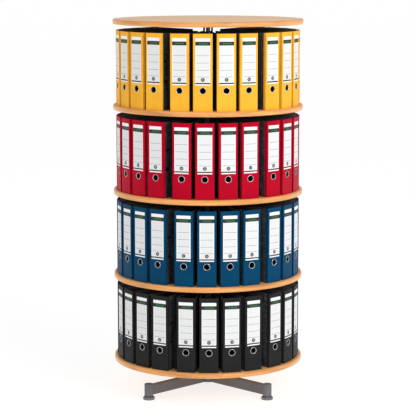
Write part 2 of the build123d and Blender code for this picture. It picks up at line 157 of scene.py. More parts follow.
class Mixture:
    """One material under construction, with a Principled shader at its end."""

    def __init__(self, name: str) -> None:
        """Makes an empty material of that name."""
        self.material = bpy.data.materials.new(name)
        self.material.use_nodes = True
        self.tree = self.material.node_tree
        self.shader = self.tree.nodes["Principled BSDF"]

    def node(self, kind: str, settings: dict[str, Any] | None = None, **inputs: Any) -> Wire:
        """Adds any node.

        Args:
            kind: the node's type.
            settings: its own settings, set first; "stops" fills a colour ramp.
            inputs: values or wires by input name, with _ for a space.

        Returns:
            Its first output.
        """
        made = self.tree.nodes.new(kind)
        for key, value in (settings or {}).items():
            if key == "stops":
                self._fill_ramp(made, value)
            else:
                setattr(made, key, value)
        for name, value in inputs.items():
            plug(self.tree, made.inputs[name.replace("_", " ")], value)
        return Wire(self.tree, made.outputs[0])

    @staticmethod
    def _fill_ramp(ramp: Any, stops: Sequence[tuple[float, float]]) -> None:
        """Sets a ramp's grey stops, each a position and a level."""
        elements = ramp.color_ramp.elements
        while len(elements) < len(stops):
            elements.new(0.5)
        for element, (position, level) in zip(elements, stops):
            element.position = position
            element.color = (level, level, level, 1.0)

    def place(self) -> Wire:
        """Object coordinates."""
        coordinates = self.tree.nodes.new("ShaderNodeTexCoord")
        return Wire(self.tree, coordinates.outputs["Object"])

    def sheet_place(self) -> Wire:
        """The piece's own flat coordinates."""
        coordinates = self.tree.nodes.new("ShaderNodeTexCoord")
        return Wire(self.tree, coordinates.outputs["UV"])

    def split(self, vector: Wire) -> tuple[Wire, Wire, Wire]:
        """The three parts of a vector."""
        parts = self.tree.nodes.new("ShaderNodeSeparateXYZ")
        plug(self.tree, parts.inputs[0], vector)
        return tuple(Wire(self.tree, output) for output in parts.outputs)

    def join(self, x: Any, y: Any, z: Any) -> Wire:
        """A vector from three numbers or wires."""
        return self.node("ShaderNodeCombineXYZ", None, X=x, Y=y, Z=z)

    def cloud(self, place: Wire, scale: float, detail: float = 3.0, rough: float = 0.5) -> Wire:
        """Soft noise around 0.5."""
        return self.node(
            "ShaderNodeTexNoise", None, Vector=place, Scale=scale, Detail=detail, Roughness=rough
        )

    def ramp(self, value: Wire, *stops: tuple[float, float]) -> Wire:
        """A grey ramp of a value."""
        return self.node("ShaderNodeValToRGB", {"stops": stops}, Fac=value)

    def blend(self, factor: Any, first: Any, second: Any) -> Wire:
        """Mixes two colours.

        Args:
            factor: how much of the second.
            first: colour or wire at 0.
            second: colour or wire at 1.

        Returns:
            The mixed colour.
        """
        mix = self.tree.nodes.new("ShaderNodeMix")
        mix.data_type = "RGBA"
        plug(self.tree, mix.inputs[0], factor)
        plug(self.tree, mix.inputs[6], first)
        plug(self.tree, mix.inputs[7], second)
        return Wire(self.tree, mix.outputs[2])

    def bump(self, height: Wire, distance: float, strength: float = 1.0) -> None:
        """Gives the surface a relief of that height."""
        relief = self.node(
            "ShaderNodeBump", None, Height=height, Distance=distance, Strength=strength
        )
        self.set(Normal=relief)

    def set(self, **inputs: Any) -> None:
        """Sets the shader's own sockets, by name with _ for a space."""
        for name, value in inputs.items():
            plug(self.tree, self.shader.inputs[name.replace("_", " ")], value)


# ------------------------------------------------------------------ finishes
@dataclass(frozen=True)
class BeechDecor:
    """The pale printed beech of the boards' flat faces, with straight grain and short flecks."""

    name: str = "beech_board"
    pale: Colour = tint(250, 215, 180)
    deep: Colour = tint(233, 191, 152)
    fleck: Colour = tint(172, 130, 94)
    along: float = 2.2
    across: float = 34.0
    fleck_along: float = 60.0
    fleck_across: float = 420.0
    relief: float = 0.00012
    gloss: float = 0.2

    def build(self) -> bpy.types.Material:
        """Makes the material."""
        mix = Mixture(self.name)
        x, y, z = mix.split(mix.place())
        grain_place = mix.join(x * self.along, y * self.across, z * self.across)
        warp = mix.cloud(mix.join(x * 1.3, y * 3.0, z), 1.5, 2.0)
        bent = mix.join(x * self.along + warp * 0.4, y * self.across + warp * 2.4, z * self.across)
        grain = mix.cloud(bent, 1.0, 5.0, 0.6)
        fleck_place = mix.join(x * self.fleck_along, y * self.fleck_across, z * self.fleck_across)
        flecks = mix.cloud(fleck_place, 1.0, 1.0)
        bands = mix.cloud(mix.join(x * 0.7, y * 7.0, z), 1.0, 2.0)
        tone = mix.blend(mix.ramp(grain, (0.3, 0.0), (0.7, 1.0)), self.deep, self.pale)
        tone = mix.blend(mix.ramp(bands, (0.35, 0.0), (0.7, 0.35)), tone, self.pale)
        spots = mix.ramp(flecks, (0.62, 0.0), (0.72, 0.5))
        mix.set(Base_Color=mix.blend(spots, tone, self.fleck))
        mix.set(Roughness=0.5 + 0.1 * mix.cloud(grain_place, 3.0), Specular_IOR_Level=self.gloss)
        mix.bump(grain - 0.4 * spots, self.relief, 0.35)
        return mix.material


@dataclass(frozen=True)
class BeechEdging:
    """Lacquered solid beech that runs round a disc, with long streaks and a satin coat."""

    name: str = "beech_edging"
    light: Colour = tint(247, 178, 98)
    warm: Colour = tint(221, 145, 70)
    dark: Colour = tint(156, 92, 44)
    streak_density: float = 130.0
    pore_density: float = 900.0
    coat: float = 0.25
    coat_roughness: float = 0.2
    relief: float = 0.00010

    def build(self) -> bpy.types.Material:
        """Makes the material."""
        mix = Mixture(self.name)
        x, y, z = mix.split(mix.place())
        round_way = y.angle_with(x)
        radius = (x * x + y * y).root()
        fine, pore = self.streak_density, self.pore_density
        along = mix.join(round_way * 3.0, radius * fine, z * fine)
        streaks = mix.cloud(along, 1.0, 5.0, 0.62)
        broad = mix.cloud(mix.join(round_way * 2.0, radius * 30.0, z * 38.0), 1.0, 2.0)
        pores = mix.cloud(mix.join(round_way * 60.0, radius * pore, z * pore), 1.0, 1.0)
        tone = mix.blend(mix.ramp(streaks, (0.33, 0.0), (0.66, 1.0)), self.warm, self.light)
        tone = mix.blend(mix.ramp(broad, (0.5, 0.0), (0.75, 0.5)), tone, self.dark)
        tone = mix.blend(mix.ramp(pores, (0.66, 0.0), (0.74, 0.4)), tone, self.dark)
        mix.set(Base_Color=tone, Roughness=0.3 + 0.12 * streaks)
        mix.set(Coat_Weight=self.coat, Coat_Roughness=self.coat_roughness)
        mix.bump(streaks, self.relief, 0.3)
        return mix.material


@dataclass(frozen=True)
class PowderCoat:
    """Sprayed steel with a fine orange peel."""

    name: str
    colour: Colour
    roughness: float = 0.42
    peel_scale: float = 900.0
    wear_scale: float = 9.0
    metal_share: float = 0.15
    relief: float = 0.00006

    def build(self) -> bpy.types.Material:
        """Makes the material."""
        mix = Mixture(self.name)
        place = mix.place()
        peel = mix.cloud(place, self.peel_scale, 2.0)
        wear = mix.cloud(place, self.wear_scale, 4.0)
        tone = mix.blend(mix.ramp(wear, (0.35, 0.0), (0.75, 1.0)), self.colour, self._lighter())
        mix.set(Base_Color=tone, Roughness=self.roughness + 0.12 * wear, Metallic=self.metal_share)
        mix.bump(peel, self.relief, 0.5)
        return mix.material

    def _lighter(self) -> Colour:
        """A slightly lighter tone of the same colour."""
        return tuple(min(1.0, part * 1.25 + 0.004) for part in self.colour)


@dataclass(frozen=True)
class TurnedMetal:
    """Bare or plated metal with faint rings from the lathe and soft stains."""

    name: str
    colour: Colour
    roughness: float = 0.25
    ring_density: float = 2600.0
    stain_scale: float = 40.0
    tarnish: float = 0.72
    relief: float = 0.00002

    def build(self) -> bpy.types.Material:
        """Makes the material."""
        mix = Mixture(self.name)
        place = mix.place()
        _, _, z = mix.split(place)
        stains = mix.cloud(place, self.stain_scale, 4.0)
        rings = mix.cloud(mix.join(0.0, 0.0, z * self.ring_density), 1.0, 1.0)
        dull = tuple(part * self.tarnish for part in self.colour)
        mix.set(Base_Color=mix.blend(mix.ramp(stains, (0.4, 0.0), (0.8, 1.0)), self.colour, dull))
        mix.set(Roughness=self.roughness + 0.16 * stains, Metallic=1.0)
        mix.bump(rings, self.relief, 0.3)
        return mix.material


@dataclass(frozen=True)
class MouldedPlastic:
    """Moulded plastic or rubber with a fine texture."""

    name: str
    colour: Colour
    roughness: float = 0.5
    texture: float = 1400.0
    dust_scale: float = 14.0
    relief: float = 0.00008

    def build(self) -> bpy.types.Material:
        """Makes the material."""
        mix = Mixture(self.name)
        place = mix.place()
        grain = mix.cloud(place, self.texture, 2.0)
        dust = mix.cloud(place, self.dust_scale, 5.0)
        dusty = tuple(part * 0.8 + 0.03 for part in self.colour)
        dusted = mix.ramp(dust, (0.45, 0.0), (0.8, 0.6))
        mix.set(Base_Color=mix.blend(dusted, self.colour, dusty))
        mix.set(Roughness=self.roughness + 0.15 * dust)
        mix.bump(grain, self.relief, 0.4)
        return mix.material


@dataclass(frozen=True)
class CoveringPaper:
    """The smooth coloured paper on a file's spine, with a faint emboss and rubbed places."""

    name: str
    colour: Colour
    roughness: float = 0.38
    emboss_scale: float = 1500.0
    rub_scale: float = 11.0
    rub_tone: float = 0.86
    gloss: float = 0.06
    relief: float = 0.00005

    def build(self) -> bpy.types.Material:
        """Makes the material."""
        mix = Mixture(self.name)
        place = mix.place()
        emboss = mix.cloud(place, self.emboss_scale, 2.0, 0.6)
        rubbed = mix.cloud(place, self.rub_scale, 4.0)
        tired = tuple(part * self.rub_tone for part in self.colour)
        places = mix.ramp(rubbed, (0.4, 0.0), (0.72, 1.0))
        mix.set(Base_Color=mix.blend(places, self.colour, tired))
        mix.set(Roughness=self.roughness + 0.14 * rubbed, Specular_IOR_Level=self.gloss)
        mix.bump(emboss, self.relief, 0.5)
        return mix.material


@dataclass(frozen=True)
class MarbledBoard:
    """Black board printed with a grey cloud marble."""

    name: str = "marbled_board"
    ground: Colour = tint(50, 50, 53)
    cloud: Colour = tint(94, 94, 99)
    drift_scale: float = 18.0
    marble_scale: float = 55.0
    fibre_scale: float = 1200.0
    relief: float = 0.00005

    def build(self) -> bpy.types.Material:
        """Makes the material."""
        mix = Mixture(self.name)
        place = mix.place()
        drift = mix.cloud(place, self.drift_scale, 3.0)
        x, y, z = mix.split(place)
        swirl = mix.join(x + drift * 0.03, y + drift * 0.03, z + drift * 0.05)
        marble = mix.cloud(swirl, self.marble_scale, 8.0, 0.68)
        fine = mix.cloud(place, self.fibre_scale, 2.0)
        spots = mix.ramp(marble, (0.46, 0.0), (0.68, 1.0))
        mix.set(Base_Color=mix.blend(spots, self.ground, self.cloud))
        mix.set(Roughness=0.5 + 0.1 * fine)
        mix.bump(fine, self.relief, 0.4)
        return mix.material


@dataclass(frozen=True)
class LiningPaper:
    """The plain dark paper inside a file."""

    name: str = "lining_paper"
    colour: Colour = tint(74, 75, 78)
    fibre_scale: float = 700.0
    patch_scale: float = 20.0
    relief: float = 0.00005

    def build(self) -> bpy.types.Material:
        """Makes the material."""
        mix = Mixture(self.name)
        place = mix.place()
        fibre = mix.cloud(place, self.fibre_scale, 4.0, 0.7)
        patch = mix.cloud(place, self.patch_scale, 3.0)
        paler = tuple(part * 1.35 for part in self.colour)
        mix.set(Base_Color=mix.blend(patch * 0.6, self.colour, paler))
        mix.set(Roughness=0.5 + 0.1 * fibre)
        mix.bump(fibre, self.relief, 0.5)
        return mix.material


@dataclass(frozen=True)
class LabelPrint:
    """The printed spine label: head strip, black band with a plain bar, ruled lines, foot line.

    Measures are millimetres: heights from the label's top, widths from its left side.
    """

    name: str = "label_print"
    length_mm: float = 192.0
    width_mm: float = 61.0
    paper: Colour = tint(244, 244, 244)
    field_tone: Colour = tint(226, 227, 228)
    ink: Colour = tint(22, 22, 22)
    line_tone: Colour = tint(112, 112, 114)
    bar_tone: Colour = tint(16, 98, 46)
    band: tuple[float, float] = (13.6, 29.4)
    bar: tuple[float, float] = (18.4, 24.8)
    bar_sides: tuple[float, float] = (13.0, 51.0)
    writing_field: tuple[float, float] = (29.4, 182.0)
    rules: tuple[float, ...] = (70.6, 100.6, 130.6, 157.6)
    rule_width: float = 1.3
    ring_at: float = 169.4
    ring_radius: float = 5.6
    ring_width: float = 4.4
    foot_line: tuple[float, float] = (181.6, 187.0)
    margin: float = 3.4
    dot_share: float = 0.42
    dot_ink: float = 0.9
    fibre_scale: float = 900.0
    relief: float = 0.00004

    def build(self) -> bpy.types.Material:
        """Makes the material."""
        mix = Mixture(self.name)
        u, v, _ = mix.split(mix.sheet_place())
        down = (1 - v) * self.length_mm
        across = u * self.width_mm

        def within(value: Wire, low: float, high: float) -> Wire:
            """1 between two limits."""
            return (value > low) * (value < high)

        inside = within(across, self.margin, self.width_mm - self.margin)
        tone = mix.blend(within(down, *self.writing_field) * inside, self.paper, self.field_tone)
        for rule in self.rules:
            near = abs(down - rule) < self.rule_width / 2
            tone = mix.blend(near * inside, tone, self.line_tone)
        reach = across - self.width_mm / 2
        drop = down - self.ring_at
        distance = (reach * reach + drop * drop).root()
        ring = abs(distance - self.ring_radius) < self.ring_width / 2
        tone = mix.blend(ring, tone, self.ink)
        dot = distance < self.ring_radius * self.dot_share
        tone = mix.blend(dot * self.dot_ink, tone, self.ink)
        band = within(down, *self.band)
        tone = mix.blend(band, tone, self.ink)
        tone = mix.blend(within(down, *self.foot_line), tone, self.ink)
        bar = within(down, *self.bar) * within(across, *self.bar_sides)
        tone = mix.blend(bar, tone, self.bar_tone)
        fibre = mix.cloud(mix.place(), self.fibre_scale, 3.0)
        mix.set(Base_Color=tone, Roughness=0.5 + 0.1 * fibre)
        mix.bump(fibre, self.relief, 0.4)
        return mix.material


class FileColour(Enum):
    """The colours that a tier's files come in, from the lowest shelf to the highest."""

    BLACK = "black"
    BLUE = "blue"
    RED = "red"
    YELLOW = "yellow"


SPINE_TONES: dict[FileColour, Colour] = {
    FileColour.BLACK: tint(38, 38, 39),
    FileColour.BLUE: tint(0, 66, 102),
    FileColour.RED: tint(184, 0, 36),
    FileColour.YELLOW: tint(250, 184, 54),
}


# ------------------------------------------------------------------ modelling
class Bench:
    """Edit-mode modelling of one piece at a time."""

    def __init__(self, name: str) -> None:
        """Starts with nothing selected."""
        if bpy.context.object and bpy.context.object.mode != "OBJECT":
            bpy.ops.object.mode_set(mode="OBJECT")
        bpy.ops.object.select_all(action="DESELECT")
        self.name = name

    def keep(self) -> bpy.types.Object:
        """Names the active object and leaves its place in its mesh."""
        made = bpy.context.object
        made.name = made.data.name = self.name
        bpy.ops.object.transform_apply(location=True, rotation=True, scale=True)
        return made

    def box(self, low: Point, high: Point) -> bpy.types.Object:
        """A cube between two corners.

        Args:
            low: lowest corner.
            high: highest corner.

        Returns:
            The new object.
        """
        middle = [(a + b) / 2 for a, b in zip(low, high)]
        size = [b - a for a, b in zip(low, high)]
        bpy.ops.mesh.primitive_cube_add(size=1.0, location=middle, scale=size)
        return self.keep()

    def rod(self, start: Point, end: Point, radius: float, sides: int) -> bpy.types.Object:
        """A closed cylinder between two points.

        Args:
            start: centre of one end.
            end: centre of the other.
            radius: its radius.
            sides: how many flats.

        Returns:
            The new object.
        """
        axis = Vector(end) - Vector(start)
        turn = axis.to_track_quat("Z", "Y").to_euler()
        bpy.ops.mesh.primitive_cylinder_add(
            vertices=sides,
            radius=radius,
            depth=axis.length,
            location=(Vector(start) + Vector(end)) / 2,
            rotation=turn,
        )
        return self.keep()


def take(piece: bpy.types.Object) -> None:
    """Makes a piece the only one selected, and active."""
    bpy.ops.object.select_all(action="DESELECT")
    bpy.context.view_layer.objects.active = piece
    piece.select_set(True)


def pick(piece: bpy.types.Object, kind: str, test: Callable[[Any], bool]) -> None:
    """Opens a piece in edit mode with some of its elements selected.

    Args:
        piece: the object.
        kind: "VERT", "EDGE" or "FACE".
        test: says which elements.
    """
    take(piece)
    bpy.ops.object.mode_set(mode="EDIT")
    bpy.ops.mesh.select_mode(type=kind)
    shape = bmesh.from_edit_mesh(piece.data)
    for element in (*shape.verts, *shape.edges, *shape.faces):
        element.select = False
    elements = {"VERT": shape.verts, "EDGE": shape.edges, "FACE": shape.faces}[kind]
    for element in [element for element in elements if test(element)]:
        element.select_set(True)
    shape.select_flush_mode()
    bmesh.update_edit_mesh(piece.data)


def close_edit() -> None:
    """Back to object mode."""
    bpy.ops.object.mode_set(mode="OBJECT")


def apply_modifier(piece: bpy.types.Object, kind: str, **settings: Any) -> None:
    """Adds one modifier with its settings and applies it."""
    take(piece)
    made = piece.modifiers.new(kind.title(), kind)
    for key, value in settings.items():
        setattr(made, key, value)
    bpy.ops.object.modifier_apply(modifier=made.name)


def cut(piece: bpy.types.Object, cutter: bpy.types.Object) -> None:
    """Cuts one closed shape out of another, and throws the cutter away."""
    apply_modifier(piece, "BOOLEAN", operation="DIFFERENCE", object=cutter, solver="EXACT")
    bpy.data.objects.remove(cutter)


def smooth(piece: bpy.types.Object, degrees: float = 35.0) -> None:
    """Shades smooth where faces meet at a shallow angle."""
    take(piece)
    bpy.ops.object.shade_smooth_by_angle(angle=math.radians(degrees))


def merge(name: str, pieces: Iterable[bpy.types.Object]) -> bpy.types.Object:
    """Joins several objects into one.

    Args:
        name: the new piece's name.
        pieces: the objects, which are used up.

    Returns:
        The joined piece.
    """
    pieces = list(pieces)
    bpy.ops.object.select_all(action="DESELECT")
    for piece in pieces:
        piece.select_set(True)
    bpy.context.view_layer.objects.active = pieces[0]
    if len(pieces) > 1:
        bpy.ops.object.join()
    joined = bpy.context.object
    joined.name = joined.data.name = name
    return joined


def copies(name: str, pattern: bpy.types.Object, places: Sequence[Matrix]) -> bpy.types.Object:
    """Copies a piece, each with its own mesh, to several places, as one object.

    Args:
        name: the new piece's name.
        pattern: the piece that is copied.
        places: a transform for each copy.

    Returns:
        One object with all the copies.
    """
    made = []
    for place in places:
        copy = pattern.copy()
        copy.data = pattern.data.copy()
        bpy.context.scene.collection.objects.link(copy)
        copy.data.transform(place)
        made.append(copy)
    return merge(name, made)


def is_upright(edge: Any) -> bool:
    """Whether an edge runs along Z."""
    a, b = edge.verts
    return abs(a.co.x - b.co.x) + abs(a.co.y - b.co.y) < abs(a.co.z - b.co.z) * 0.01


# ------------------------------------------------------------------ one lever-arch file
TOUCH = 1e-5  # how near counts as the same place, when picking elements
ROUND_SIDES = 28  # flats on the finger hole and what lines it


@dataclass(frozen=True)
class WorksSizes:
    """The mechanism's sizes: x runs inwards from the spine, y off the cover, z up."""

    plate_near: float = 0.010
    plate_far: float = 0.086
    plate_half: float = 0.072
    plate_thickness: float = 0.0012
    post_at: float = 0.016
    post_length: float = 0.053
    wire: float = 0.002
    pivot: tuple[float, float] = (0.046, 0.006)
    pivot_radius: float = 0.0025
    pivot_overhang: float = 0.004
    leg_length: float = 0.0485
    lever_half: tuple[float, float] = (0.006, 0.002)
    lever_length: float = 0.074


@dataclass
class LeverArchFile:
    """One file, standing on z = 0 with its spine towards +X."""

    height: float = 0.318
    depth: float = 0.285
    spine_at: float = 0.395
    width: float = 0.080
    free_width: float = 0.026
    spine_board: float = 0.0026
    cover_board: float = 0.0024
    wrap: float = 0.0145
    corner: float = 0.0022
    groove_from_corner: float = 0.0062
    groove_width: float = 0.0030
    groove_depth: float = 0.0009
    hole_height: float = 0.085
    hole_radius: float = 0.0132
    ring_radius: float = 0.0134
    ring_wire: float = 0.0009
    funnel_inner: float = 0.0104
    funnel_depth: float = 0.0042
    label_size: tuple[float, float] = (0.061, 0.192)
    label_from_top: float = 0.0184
    label_sheet: float = 0.00035
    slot_from_spine: float = 0.0365
    slot_size: tuple[float, float] = (0.037, 0.0082)
    ring_spacing: float = 0.080
    board_ease: float = 0.004
    seam: float = 0.0001
    rivet_radius: float = 0.0035
    rivet_height: float = 0.0008
    rivet_from_wrap: float = 0.004
    rivet_sunk: float = 0.0017
    ring_flatness: float = 0.62
    ring_proud: float = 0.0002
    funnel_step: float = 0.0003
    works: WorksSizes = WorksSizes()
    marble: bpy.types.Material | None = None
    lining: bpy.types.Material | None = None
    label_print: bpy.types.Material | None = None
    nickel: bpy.types.Material | None = None
    moulding: bpy.types.Material | None = None
    parts: dict[str, bpy.types.Object] = field(default_factory=dict)

    @property
    def lean(self) -> float:
        """The angle between a cover and the file's middle plane."""
        run = self.depth - self.spine_board
        return math.atan2((self.width - self.free_width) / 2, run)

    def build(self) -> None:
        """Models every piece once, as patterns to copy."""
        self.parts["spine"] = self._spine()
        self.parts["covers"] = merge("cover_pattern", [self._cover(1), self._cover(-1)])
        self.parts["label"] = self._label()
        self.parts["eyelet"] = self._eyelet()
        self.parts["mechanism"] = self._mechanism()

    def discard(self) -> None:
        """Removes the patterns once every copy is made."""
        for pattern in self.parts.values():
            bpy.data.objects.remove(pattern)

    def _spine(self) -> bpy.types.Object:
        """The coloured spine that wraps a little way round both covers.

        Returns:
            The spine, with its finger hole and a lined inside.
        """
        back, half = self.spine_at - self.wrap, self.width / 2
        piece = Bench("spine_pattern").box((back, -half, 0), (self.spine_at, half, self.height))
        pick(piece, "EDGE", lambda e: is_upright(e) and e.verts[0].co.x > self.spine_at - TOUCH)
        bpy.ops.mesh.bevel(offset=self.corner, segments=4, profile=0.6)
        close_edit()
        pick(piece, "FACE", lambda f: abs(f.normal.z) > 0.9 or f.normal.x < -0.9)
        bpy.ops.mesh.delete(type="FACE")
        close_edit()
        pick(piece, "VERT", lambda v: v.co.x < back + TOUCH)
        narrower = 1 - (self.wrap - self.corner) * math.tan(self.lean) / half + self.board_ease
        bpy.ops.transform.resize(value=(1, narrower, 1), center_override=(back, 0, 0))
        close_edit()
        self._press_grooves(piece)
        piece.data.materials.append(self.marble)
        piece.data.materials.append(self.lining)
        apply_modifier(
            piece, "SOLIDIFY", thickness=self.spine_board, offset=-1.0, material_offset=1,
            material_offset_rim=0,
        )
        through = 0.02
        at = (self.spine_at - through, 0, self.hole_height)
        to = (self.spine_at + through, 0, self.hole_height)
        cut(piece, Bench("hole_cutter").rod(at, to, self.hole_radius, ROUND_SIDES))
        apply_modifier(
            piece, "BEVEL", width=0.0004, segments=1, limit_method="ANGLE", angle_limit=0.9
        )
        smooth(piece)
        return piece

    def _press_grooves(self, piece: bpy.types.Object) -> None:
        """Presses the folding groove into the spine's two sides, just behind its corners."""
        middle = self.spine_at - self.groove_from_corner
        half = self.groove_width / 2
        for x in (middle - half, middle, middle + half):
            pick(piece, "FACE", lambda f: True)
            bpy.ops.mesh.bisect(plane_co=(x, 0, 0), plane_no=(1, 0, 0))
            close_edit()
        pick(piece, "VERT", lambda v: abs(v.co.x - middle) < half * 0.5)
        narrower = 1 - self.groove_depth / (self.width / 2)
        bpy.ops.transform.resize(value=(1, narrower, 1), center_override=(middle, 0, 0))
        close_edit()

    def _cover(self, side: int) -> bpy.types.Object:
        """One cover board.

        Args:
            side: 1 for the slotted cover, -1 for the one with the mechanism.

        Returns:
            The cover, marbled outside and lined inside.
        """
        length = (self.depth - self.wrap) / math.cos(self.lean)
        board = self.cover_board
        piece = Bench("cover").box((-length, -board, 0), (0, 0, self.height))
        pick(piece, "EDGE", lambda e: all(abs(v.co.y) < TOUCH for v in e.verts))
        bpy.ops.mesh.bevel(offset=0.0007, segments=2)
        close_edit()
        if side > 0:
            self._cut_slots(piece)
        piece.data.materials.append(self.marble)
        piece.data.materials.append(self.lining)
        for face in piece.data.polygons:
            face.material_index = 1 if face.normal.y < -0.9 else 0
        taper = (self.wrap - self.corner) * math.tan(self.lean)
        start_y = self.width / 2 - taper - self.seam
        place = Matrix.Translation((self.spine_at - self.wrap, start_y, 0))
        piece.data.transform(place @ Matrix.Rotation(self.lean, 4, "Z"))
        if side < 0:
            piece.data.transform(Matrix.Scale(-1, 4, (0, 1, 0)))
            piece.data.flip_normals()
            self._rivets(piece)
        smooth(piece)
        return piece

    def _cut_slots(self, piece: bpy.types.Object) -> None:
        """Cuts the two long holes that the arches reach into, before the cover is placed."""
        centre = -(self.slot_from_spine - self.wrap)
        long, wide = self.slot_size
        through = 0.01
        for side in (-1, 1):
            z = self.height / 2 + side * self.ring_spacing / 2
            low = (centre - long / 2, -through, z - wide / 2)
            cutter = Bench("slot_cutter").box(low, (centre + long / 2, through, z + wide / 2))
            pick(cutter, "EDGE", lambda e: abs(e.verts[0].co.y - e.verts[1].co.y) > through)
            bpy.ops.mesh.bevel(offset=wide * 0.49, segments=5)
            close_edit()
            cut(piece, cutter)

    def _rivets(self, piece: bpy.types.Object) -> None:
        """Presses two flat rivet heads into the plain cover."""
        at = self.spine_at - self.wrap - self.rivet_from_wrap
        y = -(self.width / 2 - self.rivet_sunk)
        heads = []
        for side in (-1, 1):
            z = self.height / 2 + side * self.ring_spacing / 2
            top = (at, y - self.rivet_height, z)
            head = Bench("rivet").rod((at, y, z), top, self.rivet_radius, 14)
            head.data.materials.append(self.lining)
            heads.append(head)
        merge(piece.name, [piece, *heads])

    def _label(self) -> bpy.types.Object:
        """The paper label, with its own flat coordinates for the print.

        Returns:
            The label.
        """
        wide, long = self.label_size
        Bench("label_pattern")
        bpy.ops.mesh.primitive_plane_add(size=1.0)
        piece = bpy.context.object
        piece.name = piece.data.name = "label_pattern"
        to_spine = Matrix(((0, 0, 1, 0), (1, 0, 0, 0), (0, 1, 0, 0), (0, 0, 0, 1)))
        piece.data.transform(Matrix.Diagonal((wide, long, 1, 1)))
        piece.data.transform(to_spine)
        middle = self.height - self.label_from_top - long / 2
        piece.data.transform(Matrix.Translation((self.spine_at + self.label_sheet, 0, middle)))
        pick(piece, "VERT", lambda v: True)
        bpy.ops.mesh.bevel(offset=0.0012, segments=2, affect="VERTICES")
        close_edit()
        apply_modifier(piece, "SOLIDIFY", thickness=self.label_sheet, offset=-1.0)
        piece.data.materials.append(self.label_print)
        return piece

    def _eyelet(self) -> bpy.types.Object:
        """The rolled metal ring round the finger hole and its collar.

        Returns:
            The eyelet.
        """
        Bench("eyelet_ring")
        bpy.ops.mesh.primitive_torus_add(
            major_radius=self.ring_radius, minor_radius=self.ring_wire,
            major_segments=ROUND_SIDES, minor_segments=8,
        )
        ring = bpy.context.object
        flat = Matrix.Diagonal((1, 1, self.ring_flatness, 1))
        ring.data.transform(Matrix.Rotation(math.pi / 2, 4, "Y") @ flat)
        front = self.spine_at + self.ring_proud
        ring.data.transform(Matrix.Translation((front, 0, self.hole_height)))
        collar = self._funnel()
        ring.data.materials.append(self.nickel)
        collar.data.materials.append(self.moulding)
        piece = merge("eyelet_pattern", [ring, collar])
        smooth(piece, 60)
        return piece

    def _funnel(self) -> bpy.types.Object:
        """The dark moulded collar inside the ring, narrower towards the inside.

        Returns:
            The collar, open at both ends.
        """
        deep, shallow = self.funnel_depth, self.funnel_step
        Bench("eyelet_funnel")
        bpy.ops.mesh.primitive_cone_add(
            vertices=ROUND_SIDES, radius1=self.funnel_inner, radius2=self.ring_radius,
            depth=deep + shallow, end_fill_type="NOTHING",
        )
        funnel = bpy.context.object
        funnel.data.transform(Matrix.Rotation(math.pi / 2, 4, "Y"))
        middle = self.spine_at + (shallow - deep) / 2
        funnel.data.transform(Matrix.Translation((middle, 0, self.hole_height)))
        apply_modifier(funnel, "SOLIDIFY", thickness=0.0005, offset=1.0)
        return funnel

    def _mechanism(self) -> bpy.types.Object:
        """The base plate with its posts, closed arches, pivot bar and lever.

        Returns:
            The mechanism on the plain cover's inner face.
        """
        sizes = self.works
        plate = Bench("plate").box(
            (sizes.plate_near, 0, -sizes.plate_half),
            (sizes.plate_far, sizes.plate_thickness, sizes.plate_half),
        )
        pick(plate, "EDGE", lambda e: abs(e.verts[0].co.y - e.verts[1].co.y) > 0.001)
        bpy.ops.mesh.bevel(offset=0.006, segments=3)
        close_edit()
        pick(plate, "FACE", lambda f: f.normal.y > 0.9)
        bpy.ops.mesh.inset(thickness=0.003, depth=0.0008)
        close_edit()
        pieces = [plate]
        reach = self.ring_spacing / 2
        for z in (-reach, reach):
            foot, top = (sizes.post_at, 0, z), (sizes.post_at, sizes.post_length, z)
            pieces.append(Bench("post").rod(foot, top, sizes.wire, 10))
            pieces.append(self._arch(z))
        bar_end = reach + sizes.pivot_overhang
        x, y = sizes.pivot
        bar = Bench("bar").rod((x, y, -bar_end), (x, y, bar_end), sizes.pivot_radius, 10)
        pieces.append(bar)
        half_x, half_y = sizes.lever_half
        lever_end = bar_end + sizes.lever_length
        lever = Bench("lever").box(
            (x - half_x, y - half_y, bar_end), (x + half_x, y + half_y, lever_end)
        )
        pick(lever, "EDGE", lambda e: e.calc_length() < 0.005)
        bpy.ops.mesh.bevel(offset=0.005, segments=3)
        close_edit()
        pieces.append(lever)
        piece = merge("mechanism_pattern", pieces)
        piece.data.materials.append(self.nickel)
        inner = self.width / 2 - self.cover_board / math.cos(self.lean)
        inwards = Vector((-math.cos(self.lean), math.sin(self.lean), 0))
        off = Vector((math.sin(self.lean), math.cos(self.lean), 0))
        columns = Matrix((inwards, off, Vector((0, 0, 1)))).transposed().to_4x4()
        at = Matrix.Translation((self.spine_at - self.spine_board, -inner, self.height / 2))
        piece.data.transform(at @ columns)
        if columns.determinant() < 0:
            piece.data.flip_normals()
        smooth(piece, 50)
        return piece

    def _arch(self, z: float) -> bpy.types.Object:
        """One closed arch: a straight leg and half a ring onto its post.

        Args:
            z: its height on the plate.

        Returns:
            The arch.
        """
        x, y = self.works.pivot
        leg = self.works.leg_length
        turn_centre = ((self.works.post_at + x) / 2, y + leg, z)
        Bench("arch")
        bpy.ops.mesh.primitive_circle_add(
            vertices=10, radius=self.works.wire, location=(x, y, z), rotation=(math.pi / 2, 0, 0)
        )
        piece = bpy.context.object
        bpy.ops.object.transform_apply(location=True, rotation=True, scale=True)
        pick(piece, "VERT", lambda v: True)
        bpy.ops.mesh.extrude_region_move(TRANSFORM_OT_translate={"value": (0, leg, 0)})
        bpy.ops.mesh.spin(steps=10, angle=math.pi, center=turn_centre, axis=(0, 0, 1))
        bpy.ops.mesh.select_all(action="SELECT")
        bpy.ops.mesh.normals_make_consistent(inside=False)
        close_edit()
        return piece


